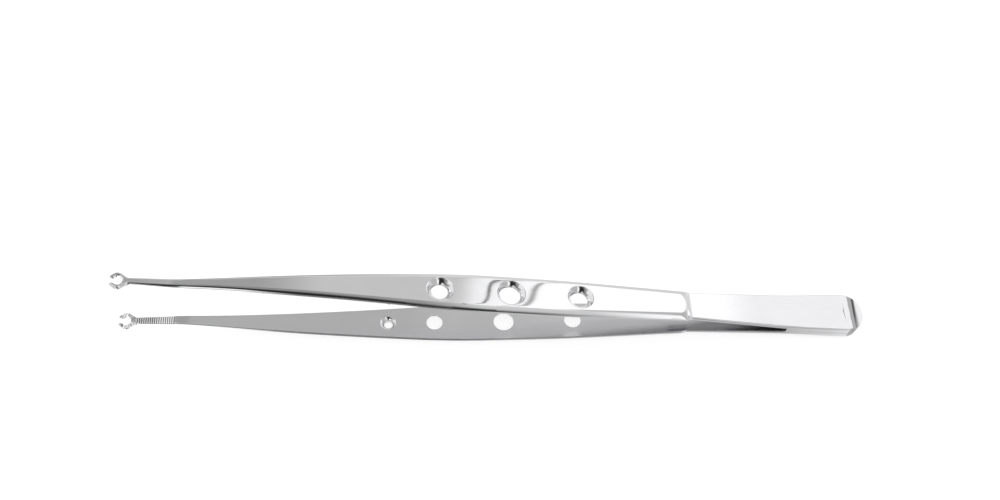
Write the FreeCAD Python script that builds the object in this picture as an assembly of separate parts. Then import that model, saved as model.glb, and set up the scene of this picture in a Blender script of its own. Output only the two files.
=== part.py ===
import FreeCAD, Part
import math
import os

from FreeCAD import Placement, Rotation, Vector

# Ring-tipped tissue forceps with fenestrated grips, in millimetres.
# The instrument is drawn in its own frame first: X runs from the tips (0) to the heel,
# Y across the width, and Z = 0 is the plane in which the two arms meet. It is drawn
# relaxed, that is open, and laid down on its lower arm at the end.

# Lengths along the instrument, measured from the tips
TOTAL_LENGTH = 180.0
HEEL_LENGTH = 20.0
HINGE_FROM_WELD = 12.0
LEAF_LENGTH = 24.3
SHOULDER_RAMP = 1.2
TIP_TO_GUIDE = 63.4
GUIDE_TO_FRONT_HOLE = 11.2
HOLE_SPACING = 16.8
NECK_START = 3.9
FLARE_START = 20.0
FLARE_END = 78.5
WIDEST_LENGTH = 26.5
TIP_TO_GRIP_BEND = 83.0
TIP_TO_BOW = 42.0
TIP_TO_JAW_BEND = 15.0

# Angles in degrees: how far each arm springs out at the heel, the slope of the grip ahead
# of its bend, and how far each arm closes
OPEN_ANGLE = 4.386
FRONT_GRIP_ANGLE = 3.2
SQUEEZE_ANGLE = 3.36

# Widths
NECK_WIDTH = 1.5
FLARE_WIDTH = 2.45
GRIP_WIDTH = 9.7
SHOULDER_WIDTH = 7.95
LEAF_WIDTH = 7.1
HEEL_WIDTH = 10.06
HEEL_PARALLEL_LENGTH = 2.2
HEEL_END_LENGTH = 4.3

# Thicknesses
JAW_THICKNESS = 1.0
SHANK_THICKNESS = 1.25
GRIP_THICKNESS = 1.7
LEAF_THICKNESS = 1.1
HEEL_THICKNESS = 1.7
LEAF_RELIEF = 0.6

# Bevels along the outer edges, width across and depth down
NECK_BEVEL = (0.42, 0.50)
FLARE_BEVEL = (0.68, 0.75)
GRIP_BEVEL = (1.20, 0.95)
SHOULDER_BEVEL = (1.35, 0.95)
LEAF_BEVEL = (0.20, 0.20)
HEEL_EDGE_RADIUS = 0.3

# Half lengths of the curves that ease one straight run into the next
BOW_EASE = 25.0
GRIP_BEND_EASE = 4.0
JAW_EASE = 1.8
HEEL_EASE = 4.0
FLARE_EASE = 8.0
TAPER_EASE = 7.0

# Ring tip: an open fork with a pointed mouth
RING_HALF_WIDTH = 2.42
RING_PEAK_FROM_TIP = 1.65
MOUTH_HALF_WIDTH = 1.07
LIP_HALF_WIDTH = 0.76
LIP_FROM_TIP = 0.99
BELLY_HALF_WIDTH = 1.12
BELLY_FROM_TIP = 1.55
CAVITY_BACK_FROM_TIP = 2.73
CAVITY_BACK_HALF_WIDTH = 0.1
RING_EASE = 1.25
NECK_EASE = 0.7
CAVITY_EASE = 0.22

# Teeth
JAW_CLEARANCE = 0.05
TOOTH_PITCH = 0.5
TOOTH_DEPTH = 0.18
TEETH_END = 13.2
RING_TOOTH_FIRST = 15.0
RING_TOOTH_STEP = 20.0
RING_TOOTH_LAST = 115.0

# Holes through both arms: bore and outer countersink diameters, front to rear
HOLE_BORES = (3.85, 4.85, 4.0)
HOLE_SINKS = (6.3, 6.8, 6.25)

# Guide pin in the upper arm and its hole in the lower arm
PIN_DIAMETER = 1.5
PIN_TIP_DIAMETER = 0.7
PIN_TIP_LENGTH = 0.9
PIN_SEAT_DEPTH = 1.0
PIN_ENTRY = 0.8
GUIDE_CLEARANCE = 0.3
GUIDE_SINK_DIAMETER = 3.5

# Weld bead along the heel's joint line
BEAD_DEPTH = 0.35
BEAD_HEIGHT = 0.5

# Spacing of the cross sections, and how far cutters stand past the faces they cut
SECTION_STEP = 8.0
OVERRUN = 1.0
ROOF_OVERRUN = 0.3

# Points closer than this are taken as one, and the step used to find where the arm rests
SAME_PLACE = 0.001
REST_STEP = 0.1

# Places that follow from the lengths
WELD_FRONT = TOTAL_LENGTH - HEEL_LENGTH
HINGE_X = WELD_FRONT - HINGE_FROM_WELD
SHOULDER_FOOT = WELD_FRONT - LEAF_LENGTH
SHOULDER_TOP = SHOULDER_FOOT - SHOULDER_RAMP
FRONT_HOLE_X = TIP_TO_GUIDE + GUIDE_TO_FRONT_HOLE
HOLE_PLACES = [FRONT_HOLE_X + i * HOLE_SPACING for i in range(len(HOLE_BORES))]
OPEN_SLOPE = math.tan(math.radians(OPEN_ANGLE))
FRONT_GRIP_SLOPE = math.tan(math.radians(FRONT_GRIP_ANGLE))
SQUEEZE_SLOPE = math.tan(math.radians(SQUEEZE_ANGLE))
ACROSS = Vector(0, 1, 0)
UPRIGHT = Vector(0, 0, 1)


class EasedLine:
    """Straight runs between knees (x, value), each knee eased by a short parabola."""

    def __init__(self, knees, eases):
        self.knees = knees
        self.eases = [0.0] + list(eases) + [0.0]

    def slope(self, run):
        (x0, v0), (x1, v1) = self.knees[run], self.knees[run + 1]
        return (v1 - v0) / (x1 - x0)

    def at(self, x):
        """Value at x; the end runs carry on past the end knees."""
        value = self.knees[0][1] + self.slope(0) * (x - self.knees[0][0])
        for run in range(1, len(self.knees) - 1):
            past = x - self.knees[run][0]
            ease = self.eases[run]
            if past >= ease:
                rise = past
            elif past > -ease:
                rise = (past + ease) ** 2 / (4.0 * ease)
            else:
                rise = 0.0
            value += (self.slope(run) - self.slope(run - 1)) * rise
        return value

    def angle(self, x):
        """Turn about Y, in degrees, that lays a level face on the line at x."""
        ahead, behind = self.at(x - SAME_PLACE), self.at(x + SAME_PLACE)
        return math.degrees(math.atan((ahead - behind) / (2.0 * SAME_PLACE)))

    def edges(self):
        """The line in the XZ plane, as straight edges and parabolas."""
        def point(x):
            return Vector(x, 0, self.at(x))

        path = []
        last = point(self.knees[0][0])
        for (x, value), ease in list(zip(self.knees, self.eases))[1:]:
            path.append(Part.makeLine(last, point(x - ease)))
            last = point(x - ease)
            if ease > 0:
                curve = Part.BezierCurve()
                curve.setPoles([last, Vector(x, 0, value), point(x + ease)])
                path.append(curve.toShape())
                last = point(x + ease)
        return path


def inner_line():
    """Inner face of the upper arm, relaxed, from the tips to the front of the weld."""
    hinge_height = LEAF_RELIEF + HINGE_FROM_WELD * OPEN_SLOPE
    squeeze = math.radians(SQUEEZE_ANGLE)

    def jaw_height(x):
        closed_drop = JAW_CLEARANCE - hinge_height
        start_x = HINGE_X - closed_drop * math.sin(squeeze)
        start_z = hinge_height + closed_drop * math.cos(squeeze)
        return start_z + (start_x - x) * SQUEEZE_SLOPE

    grip_bend_height = LEAF_RELIEF + (WELD_FRONT - TIP_TO_GRIP_BEND) * OPEN_SLOPE
    bow_height = grip_bend_height + (TIP_TO_GRIP_BEND - TIP_TO_BOW) * FRONT_GRIP_SLOPE
    knees = [
        (-OVERRUN, jaw_height(-OVERRUN)),
        (TIP_TO_JAW_BEND, jaw_height(TIP_TO_JAW_BEND)),
        (TIP_TO_BOW, bow_height),
        (TIP_TO_GRIP_BEND, grip_bend_height),
        (WELD_FRONT, LEAF_RELIEF),
    ]
    return EasedLine(knees, [JAW_EASE, BOW_EASE, GRIP_BEND_EASE])


def outer_line(inner):
    """Outer face of the upper arm: the inner line plus the thickness of each stretch."""
    tip, jaw_bend, bow, grip_bend, weld = inner.knees
    grip_end = LEAF_RELIEF + (WELD_FRONT - SHOULDER_TOP) * OPEN_SLOPE
    leaf_start = LEAF_RELIEF + LEAF_LENGTH * OPEN_SLOPE
    knees = [
        (tip[0], tip[1] + JAW_THICKNESS),
        (jaw_bend[0], jaw_bend[1] + SHANK_THICKNESS),
        (bow[0], bow[1] + GRIP_THICKNESS),
        (grip_bend[0], grip_bend[1] + GRIP_THICKNESS),
        (SHOULDER_TOP, grip_end + GRIP_THICKNESS),
        (SHOULDER_FOOT, leaf_start + LEAF_THICKNESS),
        (weld[0], weld[1] + LEAF_THICKNESS),
        (TOTAL_LENGTH, HEEL_THICKNESS),
    ]
    return EasedLine(knees, [JAW_EASE, BOW_EASE, GRIP_BEND_EASE, 0.0, 0.0, HEEL_EASE])


INNER = inner_line()
OUTER = outer_line(INNER)


def plan_lines():
    """Full width and the bevel's width and depth of the arm ahead of the shoulder."""
    places = (NECK_START, FLARE_START, FLARE_END, FLARE_END + WIDEST_LENGTH, SHOULDER_TOP)
    widths = (NECK_WIDTH, FLARE_WIDTH, GRIP_WIDTH, GRIP_WIDTH, SHOULDER_WIDTH)
    bevels = (NECK_BEVEL, FLARE_BEVEL, GRIP_BEVEL, GRIP_BEVEL, SHOULDER_BEVEL)
    eases = [FLARE_EASE, FLARE_EASE, TAPER_EASE]
    width = EasedLine(list(zip(places, widths)), eases)
    bevel_width = EasedLine([(x, b[0]) for x, b in zip(places, bevels)], eases)
    bevel_depth = EasedLine([(x, b[1]) for x, b in zip(places, bevels)], eases)
    return width, bevel_width, bevel_depth


def slab():
    """The arm's side view, drawn through the whole width."""
    heel_front = Vector(WELD_FRONT, 0, 0)
    heel_end = Vector(TOTAL_LENGTH, 0, 0)
    edges = INNER.edges()
    edges.append(Part.makeLine(Vector(WELD_FRONT, 0, LEAF_RELIEF), heel_front))
    edges.append(Part.makeLine(heel_front, heel_end))
    edges.append(Part.makeLine(heel_end, Vector(TOTAL_LENGTH, 0, OUTER.at(TOTAL_LENGTH))))
    edges.extend(reversed(OUTER.edges()))
    front = INNER.knees[0][0]
    edges.append(Part.makeLine(Vector(front, 0, OUTER.at(front)), Vector(front, 0, INNER.at(front))))
    outline = Part.Wire(Part.__sortEdges__(edges))
    profile = Part.Face(outline)
    reach = GRIP_WIDTH + HEEL_WIDTH
    profile.translate(Vector(0, -reach / 2.0, 0))
    return profile.extrude(Vector(0, reach, 0))


def roof_section(x, width, bevel_width, bevel_depth):
    """Cross section at x: upright sides, then bevels that rise past the outer face."""
    half = width / 2.0
    low = min(INNER.at(x), 0.0) - OVERRUN
    side = OUTER.at(x) - bevel_depth
    top = OUTER.at(x) + ROOF_OVERRUN * bevel_depth
    crown = half - (1.0 + ROOF_OVERRUN) * bevel_width
    corners = [(-half, low), (half, low), (half, side), (crown, top), (-crown, top), (-half, side)]
    points = [Vector(x, y, z) for y, z in corners]
    return Part.makePolygon(points + points[:1])


def arm_roof():
    """Width and bevels of the arm from the ring's neck to the shoulder's foot."""
    width, bevel_width, bevel_depth = plan_lines()
    count = math.ceil((SHOULDER_TOP - NECK_START) / SECTION_STEP)
    step = (SHOULDER_TOP - NECK_START) / count
    places = [NECK_START + i * step for i in range(count + 1)]
    sections = [roof_section(x, width.at(x), bevel_width.at(x), bevel_depth.at(x)) for x in places]
    blade = Part.makeLoft(sections, True, False)
    foot = roof_section(SHOULDER_FOOT, LEAF_WIDTH, *LEAF_BEVEL)
    shoulder = Part.makeLoft([sections[-1], foot], True, True)
    return [blade, shoulder]


def heel_outline(front, inset):
    """Plan of the leaf and heel behind x = front, drawn in by inset all round."""
    half_heel = HEEL_WIDTH / 2.0
    arc_start = TOTAL_LENGTH - HEEL_END_LENGTH
    flare_end = arc_start - HEEL_PARALLEL_LENGTH
    flare = (half_heel - LEAF_WIDTH / 2.0) / (flare_end - SHOULDER_FOOT)
    half_front = half_heel - flare * (flare_end - front) - inset
    side = half_heel - inset
    right = [Vector(front, -half_front, 0), Vector(flare_end, -side, 0), Vector(arc_start, -side, 0)]
    left = [Vector(p.x, -p.y, 0) for p in reversed(right)]
    end = Vector(TOTAL_LENGTH - inset, 0, 0)
    edges = [Part.makeLine(a, b) for a, b in zip(right, right[1:])]
    edges.append(Part.Arc(right[-1], end, left[0]).toShape())
    edges += [Part.makeLine(a, b) for a, b in zip(left, left[1:])]
    edges.append(Part.makeLine(left[-1], right[0]))
    return Part.Face(Part.Wire(edges))


def plan_prism(face, low, high):
    """A plan face drawn up from low to high."""
    prism = face.extrude(Vector(0, 0, high - low))
    prism.translate(Vector(0, 0, low))
    return prism


def jaw_place():
    """Frame of the jaw: origin on the inner face at the tip, X along the jaw, Z outwards."""
    return Placement(Vector(0, 0, INNER.at(0)), Rotation(ACROSS, SQUEEZE_ANGLE))


def rounded_face(corners):
    """A closed plan polygon of corners (x, y, reach), each eased by a parabola of its reach."""
    points = [Vector(x, y, 0) for x, y, _ in corners]
    reaches = [reach for _, _, reach in corners]
    following = points[1:] + points[:1]
    starts, ends = [], []
    for before, corner, after, reach in zip(points[-1:] + points, points, following, reaches):
        starts.append(corner + (before - corner).normalize() * reach)
        ends.append(corner + (after - corner).normalize() * reach)
    edges = []
    for start, corner, end, reach, next_start in zip(starts, points, ends, reaches, starts[1:] + starts[:1]):
        if reach > 0:
            curve = Part.BezierCurve()
            curve.setPoles([start, corner, end])
            edges.append(curve.toShape())
        edges.append(Part.makeLine(end, next_start))
    return Part.Face(Part.Wire(edges))


def both_sides(side):
    """Corners (x, y, reach) of one side, then the same ones on the other side, coming back."""
    return side + [(x, -y, reach) for x, y, reach in reversed(side)]


def ring():
    """Outer body of the fork in the jaw's frame, before its cavity is cut."""
    neck_half = NECK_WIDTH / 2.0
    side = [
        (0.0, MOUTH_HALF_WIDTH, 0.0),
        (RING_PEAK_FROM_TIP, RING_HALF_WIDTH, RING_EASE),
        (NECK_START, neck_half, NECK_EASE),
        (NECK_START + 2.0 * NECK_EASE, neck_half - NECK_BEVEL[0], 0.0),
    ]
    return plan_prism(rounded_face(both_sides(side)), -OVERRUN, JAW_THICKNESS + OVERRUN)


def ring_cavity():
    """The fork's mouth and cavity in the jaw's frame."""
    mouth_slope = (MOUTH_HALF_WIDTH - LIP_HALF_WIDTH) / LIP_FROM_TIP
    side = [
        (-OVERRUN, MOUTH_HALF_WIDTH + mouth_slope * OVERRUN, 0.0),
        (LIP_FROM_TIP, LIP_HALF_WIDTH, CAVITY_EASE),
        (BELLY_FROM_TIP, BELLY_HALF_WIDTH, CAVITY_EASE),
        (CAVITY_BACK_FROM_TIP, CAVITY_BACK_HALF_WIDTH, 0.0),
    ]
    return plan_prism(rounded_face(both_sides(side)), -2.0 * OVERRUN, JAW_THICKNESS + 2.0 * OVERRUN)


def tooth_groove(length):
    """One V groove along Y from the origin, as deep as a tooth in the face Z = 0."""
    flank = TOOTH_PITCH / 2.0 / TOOTH_DEPTH
    below = 2.0 * TOOTH_DEPTH
    half = flank * (TOOTH_DEPTH + below)
    points = [Vector(-half, 0, -below), Vector(half, 0, -below), Vector(0, 0, TOOTH_DEPTH)]
    groove = Part.Face(Part.makePolygon(points + points[:1]))
    return groove.extrude(Vector(0, length, 0))


def jaw_grooves():
    """Cross grooves behind the ring and fanned grooves round it, in the jaw's frame."""
    grooves = []
    for i in range(int((TEETH_END - NECK_START) / TOOTH_PITCH)):
        groove = tooth_groove(FLARE_WIDTH)
        groove.translate(Vector(NECK_START + (i + 0.5) * TOOTH_PITCH, -FLARE_WIDTH / 2.0, 0))
        grooves.append(groove)
    centre = Vector(BELLY_FROM_TIP, 0, 0)
    for i in range(1 + int((RING_TOOTH_LAST - RING_TOOTH_FIRST) / RING_TOOTH_STEP)):
        turn = RING_TOOTH_FIRST + i * RING_TOOTH_STEP
        for heading in (turn, -turn):
            groove = tooth_groove(RING_HALF_WIDTH)
            groove.Placement = Placement(centre, Rotation(UPRIGHT, heading - 90.0))
            grooves.append(groove)
    return Part.Compound(grooves)


def face_place(x, line, angle):
    """Frame on a face at x along the arm, Z outwards, turned by angle about Y."""
    return Placement(Vector(x, 0, line.at(x)), Rotation(ACROSS, angle))


def fenestration(x, bore, sink):
    """A through bore with a countersink from the outer face."""
    depth = (sink - bore) / 2.0
    below = GRIP_THICKNESS + OVERRUN
    hole = Part.makeCylinder(bore / 2.0, below + OVERRUN, Vector(0, 0, -below))
    cone = Part.makeCone(bore / 2.0, sink / 2.0 + OVERRUN, depth + OVERRUN, Vector(0, 0, -depth))
    cutter = hole.fuse(cone)
    cutter.Placement = face_place(x, OUTER, OUTER.angle(x))
    return cutter


def closed_gap(x):
    """Distance between the arms' inner faces at x when they are squeezed shut."""
    squeeze = math.radians(SQUEEZE_ANGLE)
    pivot = Vector(HINGE_X, 0, INNER.at(HINGE_X))
    offset = Vector(x, 0, INNER.at(x)) - pivot
    height = pivot.z + offset.z * math.cos(squeeze) + offset.x * math.sin(squeeze)
    return 2.0 * height


def guide_frame():
    """Frame of the guide: on the inner face, Z outwards, square to the closed arms."""
    return face_place(TIP_TO_GUIDE, INNER, SQUEEZE_ANGLE)


def guide_pin():
    """Pin pressed into the upper arm, reaching into the lower arm's hole when closed."""
    reach = closed_gap(TIP_TO_GUIDE) + PIN_ENTRY
    straight = reach - PIN_TIP_LENGTH
    down = Vector(0, 0, -1)
    radius = PIN_DIAMETER / 2.0
    shank = Part.makeCylinder(radius, PIN_SEAT_DEPTH + straight, Vector(0, 0, PIN_SEAT_DEPTH), down)
    tip = Part.makeCone(radius, PIN_TIP_DIAMETER / 2.0, PIN_TIP_LENGTH, Vector(0, 0, -straight), down)
    pin = shank.fuse(tip).removeSplitter()
    pin.Placement = guide_frame()
    return pin


def guide_seat():
    """Blind seat for the pin in the upper arm."""
    seat = Part.makeCylinder(PIN_DIAMETER / 2.0, PIN_SEAT_DEPTH + OVERRUN, Vector(0, 0, -OVERRUN))
    seat.Placement = guide_frame()
    return seat


def guide_hole():
    """Through hole in the lower arm with a lead-in on the inner face."""
    radius = PIN_DIAMETER / 2.0 + GUIDE_CLEARANCE
    lead = GUIDE_SINK_DIAMETER / 2.0
    hole = Part.makeCylinder(radius, GRIP_THICKNESS + 2 * OVERRUN, Vector(0, 0, -OVERRUN))
    cone = Part.makeCone(lead + OVERRUN, radius, lead + OVERRUN - radius, Vector(0, 0, -OVERRUN))
    cutter = hole.fuse(cone)
    cutter.Placement = guide_frame()
    return cutter


def whole_arm(guide_cutter):
    """One arm from ring to heel, relaxed, above the meeting plane."""
    side_view = slab()
    blade, shoulder = [side_view.common(piece) for piece in arm_roof()]
    leaf = side_view.common(plan_prism(heel_outline(SHOULDER_FOOT, 0.0), -OVERRUN, TOTAL_LENGTH))
    leaf = leaf.makeFillet(HEEL_EDGE_RADIUS, heel_rim(leaf))
    jaw = jaw_place()
    fork, cavity, grooves = ring(), ring_cavity(), jaw_grooves()
    for shape in (fork, cavity, grooves):
        shape.Placement = jaw.multiply(shape.Placement)
    arm = blade.fuse([shoulder, leaf, side_view.common(fork)]).removeSplitter()
    cutters = [cavity, guide_cutter] + grooves.Solids
    cutters += [fenestration(*hole) for hole in zip(HOLE_PLACES, HOLE_BORES, HOLE_SINKS)]
    return arm.cut(cutters)


def heel_rim(leaf):
    """Edges round the outer face of the leaf and heel, those straight across left out."""
    rim = []
    for edge in leaf.Edges:
        on_outer = all(abs(v.Z - OUTER.at(v.X)) < SAME_PLACE for v in edge.Vertexes)
        if on_outer and edge.BoundBox.XLength > SAME_PLACE:
            rim.append(edge)
    return rim


def mirrored(shape):
    """The other arm: the same shape on the far side of the meeting plane."""
    return shape.mirror(Vector(0, 0, 0), UPRIGHT)


def split_at_hinge(arm):
    """Front part that springs, and rear part that stays with the heel."""
    reach = TOTAL_LENGTH
    corner = Vector(HINGE_X, -reach / 2.0, -reach / 2.0)
    behind = Part.makeBox(reach, reach, reach, corner)
    return arm.cut(behind), arm.common(behind)


def weld_bead():
    """Ground weld bead in the heel's joint line, along both sides and round the end."""
    outside = plan_prism(heel_outline(WELD_FRONT, 0.0), -BEAD_HEIGHT / 2.0, BEAD_HEIGHT / 2.0)
    inside = plan_prism(heel_outline(WELD_FRONT - OVERRUN, BEAD_DEPTH), -BEAD_HEIGHT, BEAD_HEIGHT)
    return outside.cut(inside)


def resting_slope():
    """Slope of the table under the lower arm: it touches the heel's end and the bow."""
    depth_at_heel = OUTER.at(TOTAL_LENGTH)
    places = [i * REST_STEP for i in range(int(WELD_FRONT / REST_STEP))]
    return max((OUTER.at(x) - depth_at_heel) / (TOTAL_LENGTH - x) for x in places)


def main():
    upper_arm, upper_heel = split_at_hinge(whole_arm(guide_seat()))
    lower_arm, lower_heel = split_at_hinge(mirrored(whole_arm(guide_hole())))
    bead = weld_bead()
    nodes = {
        "upper_arm": upper_arm,
        "lower_arm": lower_arm,
        "upper_heel": upper_heel.cut(bead),
        "lower_heel": lower_heel.cut(bead),
        "heel_weld": bead,
        "guide_pin": guide_pin(),
    }
    tilt = Rotation(ACROSS, math.degrees(math.atan(resting_slope())))
    for shape in nodes.values():
        shape.Placement = Placement(Vector(), tilt).multiply(shape.Placement)
    box = FreeCAD.BoundBox()
    for shape in nodes.values():
        box.add(shape.optimalBoundingBox())
    shift = Vector(-(box.XMin + box.XMax) / 2.0, 0, -box.ZMin)
    os.makedirs("parts", exist_ok=True)
    for name, shape in nodes.items():
        shape.translate(shift)
        shape.exportStep(f"parts/{name}.step")
        print(name, len(shape.Solids), round(shape.Volume, 2), shape.isValid())
    print("box", box.XLength, box.YLength, box.ZLength)
    for name, height in (("upper", INNER.at(HINGE_X)), ("lower", -INNER.at(HINGE_X))):
        print(name, "hinge", tilt.multVec(Vector(HINGE_X, 0, height)) + shift)
    print("table slope", resting_slope(), "shift", shift)


main()
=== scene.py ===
"""Looks of ring-tipped tissue forceps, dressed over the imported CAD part.

Every piece is drawn in millimetres in the instrument's own frame: X runs from the tips to the
heel, Y across the width, and Z = 0 is the plane in which the two arms meet. The bench then lays
the finished mesh down on its lower arm, in metres, where the CAD part lies.
"""

import logging
import math
from dataclasses import dataclass
from enum import Enum, IntEnum

import bmesh
import bpy
from mathutils import Euler, Matrix, Vector


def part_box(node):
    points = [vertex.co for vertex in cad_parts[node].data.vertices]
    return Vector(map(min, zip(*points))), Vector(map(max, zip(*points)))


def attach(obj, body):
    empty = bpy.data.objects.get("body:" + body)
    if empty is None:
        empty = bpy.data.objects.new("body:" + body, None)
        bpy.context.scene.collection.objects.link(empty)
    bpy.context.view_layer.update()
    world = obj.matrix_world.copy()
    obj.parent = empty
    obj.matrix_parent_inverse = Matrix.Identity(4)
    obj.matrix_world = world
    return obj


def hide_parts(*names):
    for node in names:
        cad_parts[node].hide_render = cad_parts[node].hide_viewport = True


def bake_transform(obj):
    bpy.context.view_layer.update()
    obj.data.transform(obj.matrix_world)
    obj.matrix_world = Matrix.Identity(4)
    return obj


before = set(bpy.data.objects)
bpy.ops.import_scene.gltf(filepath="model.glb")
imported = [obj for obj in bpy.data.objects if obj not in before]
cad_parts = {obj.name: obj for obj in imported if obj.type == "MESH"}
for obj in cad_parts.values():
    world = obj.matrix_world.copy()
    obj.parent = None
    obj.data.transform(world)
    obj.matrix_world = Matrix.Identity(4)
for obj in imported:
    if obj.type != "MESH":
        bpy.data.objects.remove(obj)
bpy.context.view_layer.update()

LOG = logging.getLogger("forceps")
PICTURE_WIDTH = 1000
METRES = 0.001
SAME_PLACE = 0.0004
SHARP_TURN = math.radians(33.0)
BMesh, BMFace = bmesh.types.BMesh, bmesh.types.BMFace
BMVert, BMEdge = bmesh.types.BMVert, bmesh.types.BMEdge
Pair = tuple[float, float]
Triple = tuple[float, float, float]
Run = tuple[float, ...]
Edge = tuple[int, float, float]
Spot = tuple["Value", "Value", "Value"]


class Body(Enum):
    """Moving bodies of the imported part."""

    HEEL = "heel"
    UPPER = "upper_side"
    LOWER = "lower_side"


class Side(Enum):
    """Which arm of the pair, by the sign of its height over the meeting plane."""

    UPPER = 1
    LOWER = -1


# Lines and frames


@dataclass(frozen=True)
class EasedLine:
    """Straight runs between knees (x, value), each knee eased by a short parabola."""

    knees: tuple[Pair, ...]
    eases: Run

    def slope(self, run: int) -> float:
        """Slope of one straight run."""
        (x0, v0), (x1, v1) = self.knees[run], self.knees[run + 1]
        return (v1 - v0) / (x1 - x0)

    def at(self, x: float) -> float:
        """Value of the line at x.

        Args:
            x: Place along the instrument.

        Returns:
            The value there; the end runs carry on past the end knees.
        """
        value = self.knees[0][1] + self.slope(0) * (x - self.knees[0][0])
        for run, ease in enumerate(self.eases, start=1):
            past = x - self.knees[run][0]
            if past >= ease:
                rise = past
            elif past > -ease:
                rise = (past + ease) ** 2 / (4.0 * ease)
            else:
                rise = 0.0
            value += (self.slope(run) - self.slope(run - 1)) * rise
        return value

    def angle(self, x: float) -> float:
        """Turn about Y, in radians, that lays a level face on the line at x."""
        return math.atan((self.at(x - 0.001) - self.at(x + 0.001)) / 0.002)


@dataclass(frozen=True)
class Bench:
    """How the relaxed instrument lies on the table: tilted onto its lower arm and centred."""

    tilt: float = 3.824955088970112
    shift: Triple = (-89.55069792762843, 0.0, 13.703740876885648)

    def matrix(self) -> Matrix:
        """Instrument frame in millimetres to the part's frame in metres."""
        turn = Matrix.Rotation(math.radians(self.tilt), 4, "Y")
        return Matrix.Scale(METRES, 4) @ Matrix.Translation(self.shift) @ turn


BENCH = Bench()


# Mesh helpers


def smooth_step(low: float, high: float, x: float) -> float:
    """Eased rise from 0 at low to 1 at high."""
    t = min(1.0, max(0.0, (x - low) / (high - low)))
    return t * t * (3.0 - 2.0 * t)


def steps(start: float, end: float, size: float) -> list[float]:
    """Even places from start, up to but not at end, about size apart."""
    count = max(1, round((end - start) / size))
    return [start + (end - start) * i / count for i in range(count)]


def softened(before: tuple, corner: tuple, after: tuple, reach: float) -> list[tuple]:
    """Three points that ease a corner of a section.

    Args:
        before: Corner before this one, as (y, z).
        corner: The corner itself.
        after: Corner after this one.
        reach: How far the easing starts from the corner.

    Returns:
        The start, middle and end of the eased corner.
    """
    here = Vector(corner)
    start = here + (Vector(before) - here).normalized() * reach
    end = here + (Vector(after) - here).normalized() * reach
    middle = here * 0.5 + (start + end) * 0.25
    return [tuple(start), tuple(middle), tuple(end)]


def new_object(name: str, bm: BMesh) -> bpy.types.Object:
    """Puts a bmesh into the scene and frees it.

    Args:
        name: Name of the mesh and the object.
        bm: The finished bmesh.

    Returns:
        The object that holds it.
    """
    mesh = bpy.data.meshes.new(name)
    bm.to_mesh(mesh)
    bm.free()
    obj = bpy.data.objects.new(name, mesh)
    bpy.context.scene.collection.objects.link(obj)
    return obj


def close_up(bm: BMesh) -> None:
    """Merges doubled points and turns every face outwards."""
    bmesh.ops.remove_doubles(bm, verts=bm.verts, dist=SAME_PLACE)
    bmesh.ops.recalc_face_normals(bm, faces=bm.faces)


def pick(geom: list, kind: type) -> list:
    """The elements of one kind among mixed mesh elements."""
    return [element for element in geom if isinstance(element, kind)]


def draw_ring(bm: BMesh, edges: list) -> tuple[list, list]:
    """Draws a ring of edges on, in place, and gives its new points and edges."""
    drawn = bmesh.ops.extrude_edge_only(bm, edges=edges)["geom"]
    return pick(drawn, BMVert), pick(drawn, BMEdge)


def turn_round(bm: BMesh, geom: list, centre: float, angle: float, count: int) -> None:
    """Spins part of a section round the upright axis at x = centre."""
    axis = (0, 0, 1)
    bmesh.ops.spin(bm, geom=geom, cent=(centre, 0, 0), axis=axis, angle=angle, steps=count)


def finish_small(piece: bpy.types.Object, finish: "SteelFinish", sharp_turn: float) -> None:
    """Gives a small piece its one finish and smooth shading up to its sharp turns.

    Args:
        piece: The weld or the pin.
        finish: Its finish.
        sharp_turn: Angle in radians from which an edge stays sharp.
    """
    piece.data.materials.append(finish.material())
    piece.data.shade_smooth()
    piece.data.set_sharp_from_angle(angle=sharp_turn)


def carve(target: bpy.types.Object, cutters: list[bpy.types.Object]) -> None:
    """Cuts each cutter out of the target's mesh and removes the cutters.

    Args:
        target: The piece that is cut.
        cutters: Closed meshes, each free of self-crossings.
    """
    for cutter in cutters:
        modifier = target.modifiers.new("carve", "BOOLEAN")
        modifier.operation = "DIFFERENCE"
        modifier.solver = "EXACT"
        modifier.object = cutter
    graph = bpy.context.evaluated_depsgraph_get()
    carved = bpy.data.meshes.new_from_object(target.evaluated_get(graph))
    blank, target.data = target.data, carved
    target.modifiers.clear()
    bpy.data.meshes.remove(blank)
    for cutter in cutters:
        bpy.data.objects.remove(cutter)


def spun(profile: list[Pair], place: Matrix, segments: int = 72) -> BMesh:
    """A turned solid from a profile that starts and ends on its axis.

    Args:
        profile: Points (radius, height) from the top of the axis to its foot.
        place: Where the solid's own frame lies; its axis is that frame's Z.
        segments: Faces round the axis.

    Returns:
        A closed bmesh with its faces outwards.
    """
    bm = bmesh.new()
    verts = [bm.verts.new((radius, 0.0, height)) for radius, height in profile]
    edges = [bm.edges.new(pair) for pair in zip(verts, verts[1:])]
    bmesh.ops.spin(
        bm,
        geom=verts + edges,
        cent=(0, 0, 0),
        axis=(0, 0, 1),
        angle=2.0 * math.pi,
        steps=segments,
        use_merge=True,
    )
    close_up(bm)
    bmesh.ops.transform(bm, matrix=place, verts=bm.verts)
    return bm


def prism(outline: list[Triple], rise: Vector) -> BMesh:
    """A straight solid drawn from one flat outline.

    Args:
        outline: Corners of the outline in order.
        rise: How far and which way the outline is drawn.

    Returns:
        A closed bmesh with its faces outwards.
    """
    bm = bmesh.new()
    face = bm.faces.new([bm.verts.new(corner) for corner in outline])
    drawn = bmesh.ops.extrude_face_region(bm, geom=[face])["geom"]
    bmesh.ops.translate(bm, verts=pick(drawn, BMVert), vec=rise)
    bmesh.ops.recalc_face_normals(bm, faces=bm.faces)
    return bm


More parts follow.
